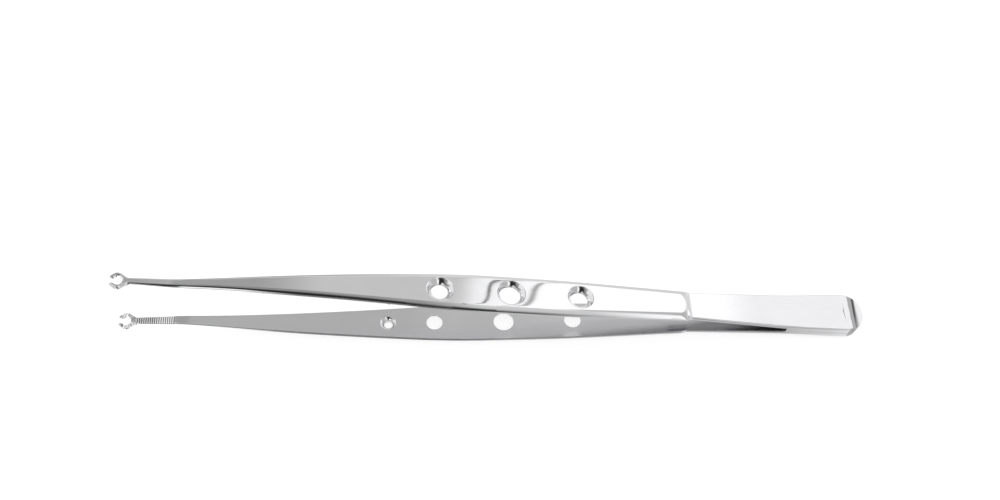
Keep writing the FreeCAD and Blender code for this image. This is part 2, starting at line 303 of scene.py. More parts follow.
def draw_on(bm: BMesh, faces: list, rise: float, centre: Vector, spread: float) -> list:
    """Draws faces further up and widens them.

    Args:
        bm: The mesh that they belong to.
        faces: Level faces that are carried up, leaving nothing inside.
        rise: How far up they go.
        centre: Point about which they are widened.
        spread: How many times as wide they become.

    Returns:
        The faces in their new place.
    """
    drawn = bmesh.ops.extrude_face_region(bm, geom=faces)["geom"]
    bmesh.ops.delete(bm, geom=faces, context="FACES_ONLY")
    verts = pick(drawn, BMVert)
    size = Matrix.Diagonal((spread, spread, 1.0, 1.0))
    there, back = Matrix.Translation(centre), Matrix.Translation(-centre)
    bmesh.ops.transform(bm, matrix=there @ size @ back, verts=verts)
    bmesh.ops.translate(bm, verts=verts, vec=(0.0, 0.0, rise))
    return pick(drawn, BMFace)


# Shader helpers


class Value:
    """A shader socket that takes part in Python sums; each operator adds a Math node."""

    def __init__(self, graph: "Graph", socket: bpy.types.NodeSocket) -> None:
        """Wraps an output socket of the graph."""
        self.graph = graph
        self.socket = socket

    def math(self, operation: str, *others: object) -> "Value":
        """Adds a Math node.

        Args:
            operation: Name of the Math node's operation.
            others: Further inputs, numbers or values.

        Returns:
            The node's result.
        """
        sockets = dict(enumerate((self, *others)))
        return self.graph.node("ShaderNodeMath", {"operation": operation}, sockets)

    def __add__(self, other: object) -> "Value":
        """Sum."""
        return self.math("ADD", other)

    __radd__ = __add__

    def __sub__(self, other: object) -> "Value":
        """Difference."""
        return self.math("SUBTRACT", other)

    def __rsub__(self, other: float) -> "Value":
        """A number less this value."""
        return self.math("MULTIPLY", -1.0) + other

    def __mul__(self, other: object) -> "Value":
        """Product."""
        return self.math("MULTIPLY", other)

    def __abs__(self) -> "Value":
        """Size without its sign."""
        return self.math("ABSOLUTE")

    def most(self, other: object) -> "Value":
        """The larger of the two."""
        return self.math("MAXIMUM", other)

    def towards(self, other: "Value", share: "Value") -> "Value":
        """This value where the share is 0, the other where it is 1."""
        return self * (1.0 - share) + other * share

    def eased(self, low: float, high: float) -> "Value":
        """Eased rise from 0 at low to 1 at high.

        Args:
            low: Where the rise starts.
            high: Where it ends; it may lie below low, and the rise is then a fall.

        Returns:
            A value between 0 and 1.
        """
        settings = {"interpolation_type": "SMOOTHSTEP"}
        falls = low > high
        first, last = (high, low) if falls else (low, high)
        sockets = {0: self, 1: first, 2: last, 3: float(falls), 4: float(not falls)}
        return self.graph.node("ShaderNodeMapRange", settings, sockets)


class Graph:
    """A node tree that is written as expressions."""

    def __init__(self, tree: bpy.types.NodeTree) -> None:
        """Empties the tree and keeps it."""
        self.tree = tree
        tree.nodes.clear()

    def node(
        self, kind: str, settings: dict | None = None, sockets: dict | None = None, out: object = 0
    ) -> Value:
        """Adds any node.

        Args:
            kind: The node's type.
            settings: Properties that are set first.
            sockets: Inputs by name or number, as numbers, colours or values to link.
            out: Name or number of the output that is wanted.

        Returns:
            That output as a value, or the first input of a node that has no output.
        """
        node = self.tree.nodes.new(kind)
        for name, setting in (settings or {}).items():
            setattr(node, name, setting)
        for name, given in (sockets or {}).items():
            if isinstance(given, Value):
                self.tree.links.new(given.socket, node.inputs[name])
            else:
                node.inputs[name].default_value = given
        return Value(self, node.outputs[out] if node.outputs else node.inputs[0])

    def place(self, scale: Triple = (1, 1, 1), turn: float = 0.0) -> Value:
        """Object coordinates in metres, turned about Z and stretched.

        Args:
            scale: Repeats per metre along each axis.
            turn: Turn about Z in degrees, made before the stretch.

        Returns:
            The mapped coordinates.
        """
        coords = self.node("ShaderNodeTexCoord", out="Object")
        if turn:
            spin = {"Vector": coords, "Angle": math.radians(turn)}
            coords = self.node("ShaderNodeVectorRotate", {"rotation_type": "Z_AXIS"}, spin)
        return self.node("ShaderNodeVectorMath", {"operation": "MULTIPLY"}, {0: coords, 1: scale})

    def noise(self, scale: Triple, detail: float = 2.0, turn: float = 0.0) -> Value:
        """Even noise between about 0.2 and 0.8 over the stretched coordinates.

        Args:
            scale: Repeats per metre along each axis.
            detail: How many finer layers it has.
            turn: Turn about Z in degrees.

        Returns:
            The noise.
        """
        place = self.place(scale, turn)
        sockets = {"Vector": place, "Scale": 1.0, "Detail": detail, "Roughness": 0.6}
        return self.node("ShaderNodeTexNoise", {"noise_dimensions": "3D"}, sockets)

    def split(self, vector: Value) -> Spot:
        """The three parts of a vector."""
        parts = self.node("ShaderNodeSeparateXYZ", sockets={0: vector})
        outputs = parts.socket.node.outputs
        return tuple(Value(self, output) for output in outputs)

    def ray(self, kind: str) -> Value:
        """1 for rays of one kind, such as "Camera" or "Glossy", and 0 for the rest."""
        return self.node("ShaderNodeLightPath", out=f"Is {kind} Ray")

    def grey(self, value: Value, low: float, high: float, blue: float = 0.0) -> Value:
        """A grey between low and high.

        Args:
            value: 0 for low and 1 for high, not held between them.
            low: The lower grey.
            high: The higher grey.
            blue: How much more blue both have.

        Returns:
            The colour.
        """
        settings = {"data_type": "RGBA", "clamp_factor": False}
        sockets = {0: value, 6: (low, low, low + blue, 1.0), 7: (high, high, high + blue, 1.0)}
        return self.node("ShaderNodeMix", settings, sockets, out=2)


# Finishes


CLOUD_SCALE = (90.0, 140.0, 140.0)
FINE_GRAIN = 2.7
SCRATCH_SCALE = (60.0, 2600.0, 2600.0)
SCRATCH_PATCHES = (130.0, 130.0, 130.0)
SCRATCH_HEADINGS = (17.0, -24.0)
SCRATCH_ROUGH = 0.08
LEAST_ROUGH = 0.02
CLOUD_TONE = 0.9
GRAIN_TONE = 0.5
STEEL_BLUE = 0.01


@dataclass(frozen=True)
class SteelFinish:
    """Stainless steel as one way of finishing leaves it.

    The shade is painted shade: where along the part the tone starts to fall, where it has fallen,
    and how far.
    """

    name: str
    dark: float
    light: float
    roughness: float
    cloud: float
    grain: Triple
    grain_depth: float
    grain_rough: float
    scratch_depth: float
    shade: Triple = (0.0, 1.0, 0.0)

    def material(self) -> bpy.types.Material:
        """The finish as a material.

        Returns:
            Metal with clouded tone, long grain, fine stray scratches and the painted shade along
            the part.
        """
        material = bpy.data.materials.new(self.name)
        material.use_nodes = True
        graph = Graph(material.node_tree)
        clouds = graph.noise(CLOUD_SCALE, 3.0)
        grain = graph.noise(self.grain, 2.0)
        fine = graph.noise(tuple(FINE_GRAIN * g for g in self.grain), 1.0)
        first, second = SCRATCH_HEADINGS
        stray = self.stray(graph, first) + self.stray(graph, second)
        tone = (clouds - 0.5) * CLOUD_TONE + (grain - 0.5) * GRAIN_TONE + 0.5
        # Painted shade: the tone falls along X as the finish's shade gives.
        start, end, depth = self.shade
        tone = tone - graph.split(graph.place())[0].eased(start, end) * depth
        rough = (clouds - 0.5) * self.cloud + (grain - 0.5) * self.grain_rough + self.roughness
        bump = self.bump(graph, grain + fine * 0.4, self.grain_depth, None)
        bump = self.bump(graph, 1.0 - stray, self.scratch_depth, bump)
        sockets = {
            "Base Color": graph.grey(tone, self.dark, self.light, STEEL_BLUE),
            "Metallic": 1.0,
            "Roughness": (rough + stray * SCRATCH_ROUGH).most(LEAST_ROUGH),
            "Normal": bump,
        }
        shader = graph.node("ShaderNodeBsdfPrincipled", None, sockets)
        graph.node("ShaderNodeOutputMaterial", None, {"Surface": shader})
        return material

    def stray(self, graph: Graph, turn: float) -> Value:
        """Few, thin scratches that run nearly one way."""
        thin = abs(graph.noise(SCRATCH_SCALE, 1.0, turn) - 0.5).eased(0.006, 0.0)
        return thin * graph.noise(SCRATCH_PATCHES, 1.0, turn).eased(0.58, 0.70)

    @staticmethod
    def bump(graph: Graph, height: Value, depth: float, under: Value | None) -> Value:
        """A Bump node, over another where one is given.

        Args:
            graph: The material's graph.
            height: Height between 0 and 1.
            depth: What a height of 1 stands for, in metres.
            under: The bump below, if any.

        Returns:
            The bumped normal.
        """
        sockets = {"Strength": 1.0, "Distance": depth, "Height": height}
        if under is not None:
            sockets["Normal"] = under
        return graph.node("ShaderNodeBump", None, sockets)


BRIGHT = SteelFinish(
    name="bright_cuts",
    dark=0.74,
    light=0.84,
    roughness=0.07,
    cloud=0.06,
    grain=(900.0, 900.0, 5200.0),
    grain_depth=2.2e-6,
    grain_rough=0.10,
    scratch_depth=1.2e-6,
)
POLISHED = SteelFinish(
    name="polished_outside_heel_shade",
    dark=0.70,
    light=0.78,
    roughness=0.03,
    cloud=0.015,
    grain=(70.0, 3600.0, 3600.0),
    grain_depth=3e-7,
    grain_rough=0.015,
    scratch_depth=1e-6,
    # Painted shade: the polished tone greys over the leaf and the heel, from x = 0.052 m to 0.064
    # m.
    shade=(0.052, 0.064, 1.3),
)
SATIN = SteelFinish(
    name="satin_inside",
    dark=0.68,
    light=0.74,
    roughness=0.18,
    cloud=0.05,
    grain=(110.0, 5200.0, 5200.0),
    grain_depth=9e-7,
    grain_rough=0.08,
    scratch_depth=8e-7,
)
CUT = SteelFinish(
    name="cut_teeth_tip_shade",
    dark=0.74,
    light=0.90,
    roughness=0.09,
    cloud=0.06,
    grain=(2800.0, 500.0, 2800.0),
    grain_depth=1.5e-6,
    grain_rough=0.10,
    scratch_depth=1e-6,
    # Painted shade: the tone falls towards the tips, darkening the teeth nearest them.
    shade=(-0.0803, -0.0825, 1.3),
)
# Painted shade: a dark, rougher copy of the cut finish for the tooth flanks that face the tips; its
# dark tone is painted shade on those flanks, and it also darkens towards the tips.
SHADED_TEETH = SteelFinish(
    name="teeth_painted_shade",
    dark=0.24,
    light=0.36,
    roughness=0.22,
    cloud=0.10,
    grain=(2800.0, 500.0, 2800.0),
    grain_depth=1.5e-6,
    grain_rough=0.12,
    scratch_depth=1e-6,
    shade=(-0.0803, -0.0825, 1.0),
)
GROUND = SteelFinish(
    name="ground_weld",
    dark=0.60,
    light=0.70,
    roughness=0.24,
    cloud=0.12,
    grain=(4200.0, 4200.0, 160.0),
    grain_depth=1.5e-6,
    grain_rough=0.14,
    scratch_depth=1.5e-6,
)
TURNED = SteelFinish(
    name="turned_pin",
    dark=0.66,
    light=0.74,
    roughness=0.13,
    cloud=0.05,
    grain=(300.0, 300.0, 9000.0),
    grain_depth=1e-6,
    grain_rough=0.08,
    scratch_depth=1e-6,
)
ARM_FINISHES = (POLISHED, SATIN, CUT, BRIGHT, SHADED_TEETH)


# The instrument


@dataclass
class ArmShape:
    """Named sizes of one arm, upper side up, and the lines that follow from them."""

    line_start: float = -1.0
    total_length: float = 180.0
    weld_front: float = 160.0
    shoulder_foot: float = 135.7
    shoulder_top: float = 134.5
    hinge_x: float = 148.0
    neck_start: float = 3.9
    teeth_end: float = 13.2
    tooth_pitch: float = 0.5
    tooth_depth: float = 0.18
    jaw_bend: float = 15.0
    bow: float = 42.0
    grip_bend: float = 83.0
    flare: Triple = (20.0, 78.5, 105.0)
    open_angle: float = 4.386
    front_grip_angle: float = 3.2
    squeeze_angle: float = 3.36
    jaw_clearance: float = 0.05
    relief: float = 0.6
    widths: Run = (1.5, 2.45, 9.7, 9.7, 7.95)
    bevel_widths: Run = (0.24, 0.62, 1.20, 1.20, 1.35)
    bevel_depths: Run = (0.26, 0.66, 0.95, 0.95, 0.95)
    width_eases: Run = (8.0, 8.0, 7.0)
    side_eases: Run = (1.8, 25.0, 4.0)
    weld_ease: float = 4.0
    jaw_thickness: float = 1.0
    shank_thickness: float = 1.25
    grip_thickness: float = 1.7
    leaf_thickness: float = 1.1
    heel_thickness: float = 1.7
    leaf_width: float = 7.1
    heel_width: float = 10.06
    heel_parallel: float = 2.2
    heel_ease: float = 2.0
    heel_end: float = 4.3
    heel_edge: float = 0.3
    bead_depth: float = 0.35
    bead_height: float = 0.5
    ring_knees: tuple[Pair, ...] = ((0.0, 1.07), (1.65, 2.42), (3.9, 0.75), (5.3, 0.33))
    ring_eases: Run = (0.985, 0.6)
    ring_overlap: Pair = (0.6, 1.4)
    ring_bevel: float = 0.24
    bevel_growth: Pair = (1.0, 1.6)
    bevel_crown: float = 0.05
    corner_reach: float = 0.11
    edge: Pair = (0.06, 0.22)
    crown_drop: float = 0.045
    flat_shares: Run = (0.93, 0.82, 0.62, 0.34, 0.0)
    shoulder_corner: float = 1.6
    shoulder_ease: float = 0.14

    def __post_init__(self) -> None:
        """Works out the side view's and the plan's lines."""
        front = math.tan(math.radians(self.front_grip_angle))
        grip = self.leaf_height(self.grip_bend)
        bow = grip + (self.grip_bend - self.bow) * front
        knees = [(x, self.jaw_height(x)) for x in (self.line_start, self.jaw_bend)]
        knees += [(self.bow, bow), (self.grip_bend, grip)]
        eases = self.side_eases
        self.inner = EasedLine((*knees, (self.weld_front, self.relief)), eases)
        thick = (self.jaw_thickness, self.shank_thickness, self.grip_thickness, self.grip_thickness)
        leaf_knees = [
            (self.shoulder_top, self.leaf_height(self.shoulder_top) + self.grip_thickness),
            (self.shoulder_foot, self.leaf_height(self.shoulder_foot) + self.leaf_thickness),
            (self.weld_front, self.relief + self.leaf_thickness),
            (self.total_length, self.heel_thickness),
        ]
        blade_knees = [(x, z + t) for (x, z), t in zip(knees, thick)]
        shoulder = (self.shoulder_ease, self.shoulder_ease)
        self.outer = EasedLine((*blade_knees, *leaf_knees), (*eases, *shoulder, self.weld_ease))
        places = (self.neck_start, *self.flare, self.shoulder_top)
        self.width, self.bevel_width, self.bevel_depth = (
            EasedLine(tuple(zip(places, sizes)), self.width_eases)
            for sizes in (self.widths, self.bevel_widths, self.bevel_depths)
        )
        self.ring = EasedLine(self.ring_knees, self.ring_eases)
        half_heel = self.heel_width / 2.0
        self.arc_start = self.total_length - self.heel_end
        self.arc_radius = (half_heel**2 + self.heel_end**2) / (2.0 * self.heel_end)
        self.arc_centre = self.total_length - self.arc_radius
        self.arc_offset = self.arc_start - self.arc_centre
        self.arc_sweep = math.pi - 2.0 * math.atan2(self.arc_offset, half_heel)
        self.leaf = EasedLine(
            (
                (self.shoulder_foot, self.leaf_width / 2.0),
                (self.arc_start - self.heel_parallel, half_heel),
                (self.arc_start, half_heel),
            ),
            (self.heel_ease,),
        )

    def leaf_height(self, x: float) -> float:
        """Height of the inner face between the grip's bend and the weld."""
        return self.relief + (self.weld_front - x) * math.tan(math.radians(self.open_angle))

    def jaw_height(self, x: float) -> float:
        """Height of the jaw's inner face, which is level when the arm is squeezed shut.

        Args:
            x: Place along the instrument.

        Returns:
            The height there, with the arm at rest.
        """
        squeeze = math.radians(self.squeeze_angle)
        hinge_height = self.leaf_height(self.hinge_x)
        drop = self.jaw_clearance - hinge_height
        start_x = self.hinge_x - drop * math.sin(squeeze)
        start_z = hinge_height + drop * math.cos(squeeze)
        return start_z + (start_x - x) * math.tan(squeeze)

    def ramp_share(self, x: float) -> float:
        """How far down the shoulder's ramp x lies, from 0 at its top to 1 at its foot."""
        share = (x - self.shoulder_top) / (self.shoulder_foot - self.shoulder_top)
        return min(1.0, max(0.0, share))

    def along(self, x: float, y: float) -> float:
        """Where a point of the section at x lies; the last section leans on the end's centre."""
        last = x >= self.arc_start
        return self.arc_centre + self.arc_offset * y / self.half_width(x) if last else x

    def half_width(self, x: float) -> float:
        """Half the arm's width, ring, blade, leaf or heel.

        Args:
            x: Place along the instrument.

        Returns:
            Half the width there.
        """
        before, after = self.ring_overlap
        if x < self.neck_start + after:
            blade = self.width.at(x) / 2.0 if x > self.neck_start - before else 0.0
            return max(self.ring.at(max(x, 0.0)), blade)
        if x <= self.shoulder_top:
            return self.width.at(x) / 2.0
        if x < self.shoulder_foot:
            share = self.ramp_share(x)
            return (self.widths[-1] * (1.0 - share) + self.leaf_width * share) / 2.0
        return self.leaf.at(x)

    def bevel(self, x: float) -> Pair:
        """Size of the bevel between the side and the outer flat.

        Args:
            x: Place along the instrument.

        Returns:
            Its width and depth there.
        """
        before, after = self.bevel_growth
        grow = smooth_step(self.neck_start - before, self.neck_start + after, x)
        at = max(x, self.neck_start)
        wide = self.ring_bevel + (self.bevel_width.at(at) - self.ring_bevel) * grow
        deep = self.ring_bevel + (self.bevel_depth.at(at) - self.ring_bevel) * grow
        corner = self.shoulder_corner
        turn = min(x - (self.shoulder_top - corner), corner)
        if turn > 0.0:
            wide += corner - math.sqrt(max(0.0, corner**2 - turn**2))
        return wide, deep

    def tooth(self, x: float) -> float:
        """Groove between the cross teeth of the inner face.

        Args:
            x: Place along the instrument.

        Returns:
            How deep it is cut there.
        """
        count = int((self.teeth_end - self.neck_start) / self.tooth_pitch)
        along = (x - self.neck_start) / self.tooth_pitch
        if not 0.0 < along < count:
            return 0.0
        return self.tooth_depth * (1.0 - abs(2.0 * (along % 1.0) - 1.0))

    def half_section(self, x: float) -> list[Pair]:
        """Half of the cross section at x, as (y, z) from the inner face's middle to the outer's.

        Args:
            x: Place along the instrument.

        Returns:
            Eighteen points; each has the same part to play in every section.
        """
        half = self.half_width(x)
        top = self.outer.at(x)
        low = self.inner.at(x) + self.tooth(x)
        if x > self.weld_front:
            low = 0.0
            seat, rise = half - self.bead_depth, self.bead_height / 2.0
            corner = [(seat, low), (seat, low + rise), (half, low + rise)]
        else:
            jaw, grip = self.edge
            reach = jaw + (grip - jaw) * smooth_step(self.jaw_bend, self.bow, x)
            corner = softened((0.0, low), (half, low), (half, low + 1.0), reach)
        wide, deep = self.bevel(min(x, self.shoulder_top))
        blade = self.bevelled(half, top, wide, deep)
        rolled = self.rounded(half, top)
        share = self.ramp_share(x)
        rim = [tuple(Vector(a).lerp(Vector(b), share)) for a, b in zip(blade, rolled)]
        crown = rim[-1][0]
        drop = top - rim[-1][1]
        flat = [(crown * t, top - drop * t**4) for t in self.flat_shares]
        inside = [(0.0, low), (corner[0][0] * 0.5, low)]
        return inside + corner + rim + flat

    def bevelled(self, half: float, top: float, wide: float, deep: float) -> list[Pair]:
        """Side, bevel and the start of the outer flat, with their corners eased.

        Args:
            half: Half the section's width.
            top: Height of the outer face.
            wide: Width of the bevel.
            deep: Depth of the bevel.

        Returns:
            Seven points, from the side up.
        """
        foot = (half, top - deep)
        crown = (half - wide, top - self.crown_drop * min(1.0, half / 4.0))
        reach = min(self.corner_reach, 0.28 * math.hypot(wide, deep))
        low = softened((half, foot[1] - 1.0), foot, crown, reach)
        high = softened(foot, crown, (0.0, crown[1] + 0.02), reach)
        across = Vector((deep, wide)).normalized() * self.bevel_crown * min(1.0, wide)
        middle = tuple((Vector(low[2]) + Vector(high[0])) / 2.0 + across)
        return low + [middle] + high

    def rounded(self, half: float, top: float) -> list[Pair]:
        """Side and rounded outer edge of the leaf and the heel.

        Args:
            half: Half the section's width.
            top: Height of the outer face.

        Returns:
            Seven points, from the side up.
        """
        radius = self.heel_edge
        turns = [math.radians(15.0 * i) for i in range(7)]
        across = [half - radius * (1.0 - math.cos(turn)) for turn in turns]
        up = [top - radius * (1.0 - math.sin(turn)) for turn in turns]
        return list(zip(across, up))

    def stations(self) -> list[float]:
        """Places of the cross sections, closer where the shape turns.

        Returns:
            Places along the instrument, from the tip to where the heel's end curves.
        """
        pitch, ease = self.tooth_pitch, self.shoulder_ease
        last_tooth = self.neck_start + int((self.teeth_end - self.neck_start) / pitch) * pitch
        # Where each run of sections starts, and how far apart they lie in it.
        runs = (
            (0.0, 0.06),
            (0.6, 0.11),
            (self.neck_start, pitch / 2.0),
            (last_tooth, 0.05),
            (last_tooth + 0.05, 0.3),
            (17.0, 0.6),
            (67.0, 0.9),
            (78.0, 0.4),
            (88.0, 1.0),
            (131.0, 0.16),
            (self.shoulder_top - ease, 0.06),
            (self.shoulder_top + ease, 0.25),
            (self.shoulder_foot - ease, 0.06),
            (self.shoulder_foot + ease, 0.7),
            (154.0, 0.4),
            (self.weld_front - 0.01, 0.02),
            (self.weld_front + 0.01, 0.39),
        )
        places = []
        for (start, size), (end, _) in zip(runs, runs[1:] + ((self.weld_front + 0.4, 0.0),)):
            places += steps(start, end, size)
        return places + self.heel_stations()

    def heel_stations(self) -> list[float]:
        """Places of the heel's sections, up to where its end starts to curve."""
        return steps(self.weld_front + 0.4, self.arc_start, 0.5) + [self.arc_start]


@dataclass
class Arm:
    """One arm of the pair, from the fork at its tip to its half of the heel."""

    side: Side
    shape: ArmShape
    hole_places: Run = (74.6, 91.4, 108.2)
    hole_bores: Run = (3.85, 4.85, 4.0)
    hole_sinks: Run = (6.3, 6.8, 6.25)
    guide_x: float = 63.4
    guide_bore: float = 2.1
    guide_sink: float = 3.5
    guide_through: float = 1.69
    overrun: float = 1.2
    rim_radius: float = 0.32
    rim_turns: Run = (15.0, 25.0, 35.0, 45.0)
    rim_reach: float = 0.25
    level_look: float = 0.993
    sink_mouth: Pair = (0.26, 0.05)
    sink_foot: tuple[Pair, ...] = ((0.08, 0.08), (0.02, -0.03), (0.0, -0.12))
    bore_foot: tuple[Pair, ...] = ((0.0, 0.10), (0.03, 0.03), (0.13, -0.07))
    cavity: tuple[Pair, ...] = ((-1.0, 1.25), (0.7, 0.68), (1.25, 1.2), (2.15, 1.15), (2.78, 0.42))
    cavity_ease: float = 0.3
    cavity_rim: float = 0.16
    cavity_middle: float = 1.4
    cavity_flare: float = 1.18
    fan_turns: Run = (15.0, 35.0, 55.0, 75.0, 95.0, 115.0)
    fan_centre: float = 1.55
    fan_start: float = 0.7
    fan_overrun: float = 0.6
    fan_overcut: float = 0.1
    roll_reach: float = 3.4
    roll_turns: Run = (3.5, 5.0, 6.5, 8.0, 9.5)

    def build(self) -> bpy.types.Object:
        """The arm's finished mesh, dressed.

        Returns:
            The arm as one object that stands for its front and heel nodes.
        """
        word = self.side.name.lower()
        arm = new_object(f"{word}_arm_steel", self.lofted())
        carve(arm, self.cutters())
        self.dress(arm.data)
        if self.side is Side.LOWER:
            arm.data.transform(Matrix.Scale(-1.0, 4, (0, 0, 1)))
            arm.data.flip_normals()
        arm.data.transform(BENCH.matrix())
        arm.data.set_sharp_from_angle(angle=SHARP_TURN)
        self.crisp_rims(arm.data)
        weighted = arm.modifiers.new("even_faces", "WEIGHTED_NORMAL")
        weighted.keep_sharp = True
        weighted.weight = 60
        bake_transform(arm)
        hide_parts(f"{word}_arm", f"{word}_heel")
        return arm

    def lofted(self) -> BMesh:
        """The arm's solid form: a ring of points drawn from section to section.

        Returns:
            A closed bmesh, before its holes and fork are cut.
        """
        shape = self.shape
        count = 2 * len(shape.half_section(0.0)) - 2
        bm = bmesh.new()
        order = bm.verts.layers.int.new("order")
        loop = bmesh.ops.create_circle(bm, cap_ends=False, segments=count, radius=1.0)["verts"]
        for index, vert in enumerate(loop):
            vert[order] = index
        edges = list(bm.edges)
        first = list(loop)
        places = shape.stations()
        self.lay(first, order, places[0])
        for x in places[1:]:
            loop, edges = draw_ring(bm, edges)
            self.lay(loop, order, x)
        self.round_heel(bm, loop, edges, order)
        bm.faces.new(sorted(first, key=lambda v: v[order]))
        close_up(bm)
        bm.verts.layers.int.remove(bm.verts.layers.int["order"])
        return bm

    def lay(self, loop: list, order: object, x: float) -> None:
        """Moves a ring of points onto the section at x.

        Args:
            loop: The ring's points.
            order: Layer that holds each point's number round the ring.
            x: Place along the instrument.
        """
        half = self.shape.half_section(x)
        last = len(half) - 1
        squeeze = math.radians(self.shape.squeeze_angle)
        lean = math.tan(squeeze) * (1.0 - smooth_step(1.0, self.shape.neck_start, x))
        for vert in loop:
            index = vert[order]
            y, z = half[index] if index <= last else half[2 * last - index]
            place = self.shape.along(x, y) + lean * (z - half[0][1])
            vert.co = (place, y if index <= last else -y, z)

    def round_heel(self, bm: BMesh, loop: list, edges: list, order: object) -> None:
        """Turns the last half section round the heel's centre to make its rounded end.

        Args:
            bm: The arm so far.
            loop: Points of the last ring.
            edges: Edges of the last ring.
            order: Layer that holds each point's number round the ring.
        """
        last = len(loop) // 2
        side = [e for e in edges if all(v[order] <= last for v in e.verts)]
        side += [v for v in loop if v[order] <= last]
        turn_round(bm, side, self.shape.arc_centre, -self.shape.arc_sweep, 40)

    def cutters(self) -> list[bpy.types.Object]:
        """Everything that is cut out of the arm: grip holes, fork mouth, fanned teeth, guide.

        Returns:
            Closed objects, each for one cut.
        """
        sizes = zip(self.hole_places, self.hole_bores, self.hole_sinks)
        holes = [self.grip_hole(*size) for size in sizes]
        if self.side is Side.LOWER:
            holes.append(self.guide_hole())
        cutters = [new_object("hole_cutter", bm) for bm in holes]
        cutters.append(new_object("mouth_cutter", self.mouth()))
        cutters.append(new_object("roll_cutter", self.heel_roll()))
        headings = [sign * turn for turn in self.fan_turns for sign in (1, -1)]
        return cutters + [new_object("fan_cutter", self.fan_groove(h)) for h in headings]

    def sink_profile(self, bore: float, sink: float, through: float) -> list[Pair]:
        """Profile of a countersunk hole whose rims are softened.

        Args:
            bore: Diameter of the straight bore.
            sink: Diameter of the countersink at the face.
            through: Thickness that the hole passes through.

        Returns:
            Points (radius, height) with the countersunk face at height 0.
        """
        narrow, wide = bore / 2.0, sink / 2.0
        depth, end = wide - narrow, -through - self.overrun
        radius, mouth = self.rim_radius, self.sink_mouth
        reach = radius * math.tan(math.radians(22.5))
        points = [(0.0, self.overrun), (wide + 0.7, self.overrun), (wide + mouth[0], mouth[1])]
        for turn in (math.radians(t) for t in self.rim_turns):
            out = wide + reach - radius * math.sin(turn)
            points.append((out, -radius * (1.0 - math.cos(turn))))
        points += [(narrow + out, up - depth) for out, up in self.sink_foot]
        points += [(narrow + out, up - through) for out, up in self.bore_foot]
        return points + [(points[-1][0], end), (0.0, end)]

    def grip_hole(self, x: float, bore: float, sink: float) -> BMesh:
        """Cutter for one countersunk hole, square to the outer face.

        Args:
            x: Place of its middle along the instrument.
            bore: Diameter of the straight bore.
            sink: Diameter of the countersink at the face.

        Returns:
            A closed bmesh.
        """
        line = self.shape.outer
        through = self.shape.grip_thickness * math.cos(line.angle(x))
        turn = Matrix.Rotation(line.angle(x), 4, "Y")
        drop = self.shape.crown_drop * 0.25
        place = Matrix.Translation((x, 0.0, line.at(x))) @ turn @ Matrix.Translation((0, 0, -drop))
        return spun(self.sink_profile(bore, sink, through - drop), place)

    def guide_hole(self) -> BMesh:
        """Cutter for the guide hole, countersunk from the inner face.

        Returns:
            A closed bmesh.
        """
        place = self.inner_frame(self.guide_x) @ Matrix.Rotation(math.pi, 4, "X")
        profile = self.sink_profile(self.guide_bore, self.guide_sink, self.guide_through)
        return spun(profile, place)

    def inner_frame(self, x: float) -> Matrix:
        """Frame on the inner face at x, its Z outwards and square to the closed arms."""
        turn = Matrix.Rotation(math.radians(self.shape.squeeze_angle), 4, "Y")
        return Matrix.Translation((x, 0.0, self.shape.inner.at(x))) @ turn

    def mouth(self) -> BMesh:
        """Cutter for the fork's mouth and cavity, flared where it leaves the outer face.

        Returns:
            A closed bmesh.
        """
        side = [(x, y, -1.0) for x, y in self.cavity]
        outline = side + [(x, -y, z) for x, y, z in reversed(side)]
        bm = prism(outline, Vector((0.0, 0.0, self.shape.jaw_thickness + 1.0 - self.cavity_rim)))
        upright = [e for e in bm.edges if abs(e.verts[0].co.z - e.verts[1].co.z) > 1.0]
        inner_corners = [e for e in upright if 0.5 < e.verts[0].co.x < 2.0]
        bmesh.ops.bevel(
            bm,
            geom=inner_corners,
            offset=self.cavity_ease,
            offset_type="OFFSET",
            affect="EDGES",
            segments=5,
            profile=0.5,
            material=-1,
        )
        bm.normal_update()
        lid = [f for f in bm.faces if f.normal.z > 0.9]
        centre = Vector((self.cavity_middle, 0.0, 0.0))
        lid = draw_on(bm, lid, self.cavity_rim + 0.06, centre, self.cavity_flare)
        draw_on(bm, lid, 1.0, centre, 1.0)
        bmesh.ops.recalc_face_normals(bm, faces=bm.faces)
        bmesh.ops.transform(bm, matrix=self.inner_frame(0.0), verts=bm.verts)
        return bm

    def heel_roll(self) -> BMesh:
        """Cutter that rolls the outer face off towards the heel's rounded end.

        Returns:
            A closed bmesh.
        """
        shape = self.shape
        x = shape.total_length - self.roll_reach
        z = shape.outer.at(x)
        outline = [(x, 0.0, z)]
        step = self.roll_reach / (len(self.roll_turns) - 1)
        for turn in self.roll_turns:
            x, z = x + step, z - step * math.tan(math.radians(turn))
            outline.append((x, 0.0, z))
        outline += [(x, 0.0, z + 3.0), (outline[0][0], 0.0, z + 3.0)]
        half = shape.heel_width
        return prism([(px, -half, pz) for px, _, pz in outline], Vector((0.0, 2.0 * half, 0.0)))

    def fan_groove(self, heading: float) -> BMesh:
        """Cutter for one V groove of the ring's fan.

        Args:
            heading: Which way it runs from the cavity, in degrees.

        Returns:
            A closed bmesh.
        """
        depth = self.shape.tooth_depth
        flank = self.shape.tooth_pitch / 2.0 / depth
        half, below = flank * (depth + self.fan_overcut), -self.fan_overcut
        start, end = self.fan_start, self.shape.ring_knees[1][1] + self.fan_overrun
        outline = [(-half, start, below), (half, start, below), (0.0, start, depth)]
        bm = prism(outline, Vector((0.0, end - start, 0.0)))
        turn = Matrix.Rotation(math.radians(heading - 90.0), 4, "Z")
        place = self.inner_frame(0.0) @ Matrix.Translation((self.fan_centre, 0.0, 0.0)) @ turn
        bmesh.ops.transform(bm, matrix=place, verts=bm.verts)
        return bm

